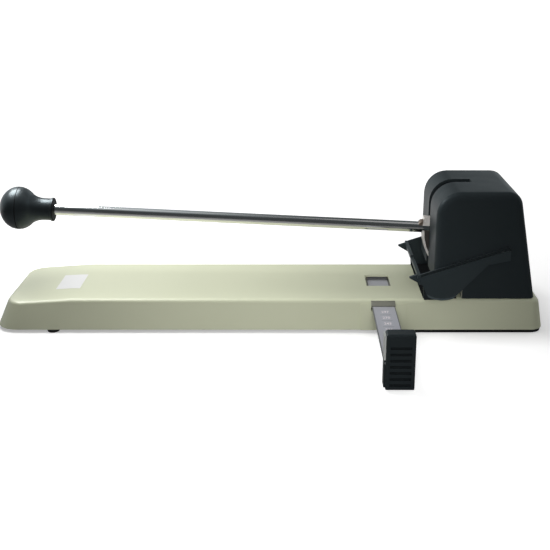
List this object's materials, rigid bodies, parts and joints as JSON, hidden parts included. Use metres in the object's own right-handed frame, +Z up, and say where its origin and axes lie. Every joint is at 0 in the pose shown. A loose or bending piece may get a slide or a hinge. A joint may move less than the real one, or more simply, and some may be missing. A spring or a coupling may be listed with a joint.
{
  "type": "heavy duty hole punch",
  "caption": "Lever paper punch with a long painted base, a black head, a chrome lever with a ball knob, a swinging paper guard, a sliding paper guide and a chip tray at the rear.",
  "frame": {"origin": "on the table, midway between the two punches", "axes": "+X to the rear of the punch, -X along the lever to its knob, -Y to the side where the paper guide comes out, +Z up"},
  "size_m": [0.4915, 0.235, 0.1261],
  "materials": {
    "base_paint": "light grey-green stove enamel, satin",
    "head_paint": "black enamel, semi-gloss",
    "black_metal": "black enamel, satin",
    "dark_metal": "oiled dark steel",
    "tool_steel": "ground steel",
    "bright_steel": "polished steel",
    "screw_steel": "zinc plated steel",
    "bronze": "bearing bronze",
    "rubber": "black rubber",
    "rod_chrome": "polished chrome",
    "hub_chrome": "polished chrome",
    "knob": "black moulded plastic, gloss",
    "guard_plastic": "black moulded plastic, satin",
    "guide_bar": "bright plated strip",
    "stop_plastic": "black moulded plastic, satin",
    "tray_plastic": "black moulded plastic"
  },
  "bodies": {
    "base": {"base_cover": "base_paint", "front_pan": "dark_metal", "front_feet": "rubber", "pan_screws": "screw_steel", "bottom_plate": "black_metal", "plate_screws": "screw_steel", "bed_rails": "dark_metal", "bed_plate": "black_metal", "bed_screws": "screw_steel", "die_bushes": "tool_steel", "pedestal": "dark_metal", "back_stop": "tool_steel", "guide_plate": "tool_steel", "punch_bushes": "bronze", "guide_posts": "bright_steel", "lever_bracket": "dark_metal", "frame_bolts": "screw_steel", "lever_shaft": "bright_steel", "retaining_rings": "dark_metal", "thrust_washers": "bronze", "head_cover": "head_paint", "cover_screws": "screw_steel", "guard_pins": "bright_steel", "guide_channel": "dark_metal", "detent_spring": "tool_steel"},
    "lever": {"lever_hub": "hub_chrome", "lever_rod": "rod_chrome", "lever_knob": "knob", "hub_bush": "bronze", "pinion_near": "tool_steel", "pinion_far": "tool_steel", "hub_dowels": "tool_steel"},
    "punch_carriage": {"crosshead": "dark_metal", "rack_near": "tool_steel", "rack_far": "tool_steel", "rack_screws": "screw_steel", "punches": "bright_steel", "punch_keepers": "tool_steel", "keeper_screws": "screw_steel"},
    "guard": {"paper_guard": "guard_plastic"},
    "guide": {"guide_bar": "guide_bar", "guide_stop": "stop_plastic", "stop_plate": "tool_steel", "stop_screws": "screw_steel", "slot_screw": "screw_steel"},
    "tray": {"chip_tray": "tray_plastic"}
  },
  "joints": [
    {"name": "lever_hinge", "type": "hinge", "parent": "base", "child": "lever", "pos_m": [0.0296, 0, 0.08], "axis": [0, 1, 0], "range_deg": [0, 64]},
    {"name": "punch_slide", "type": "slide", "parent": "base", "child": "punch_carriage", "axis": [0, 0, 1], "range_m": [0, 0.02011]},
    {"name": "guard_hinge", "type": "hinge", "parent": "base", "child": "guard", "pos_m": [0.046, 0, 0.072], "axis": [0, 1, 0], "range_deg": [0, 15]},
    {"name": "guide_slide", "type": "slide", "parent": "base", "child": "guide", "axis": [0, 1, 0], "range_m": [-0.015, 0.105]},
    {"name": "tray_slide", "type": "slide", "parent": "base", "child": "tray", "axis": [1, 0, 0], "range_m": [0, 0.085]}
  ],
  "couplings": [
    {"joint": "punch_slide", "follows": "lever_hinge", "m_per_rad": 0.018}
  ]
}
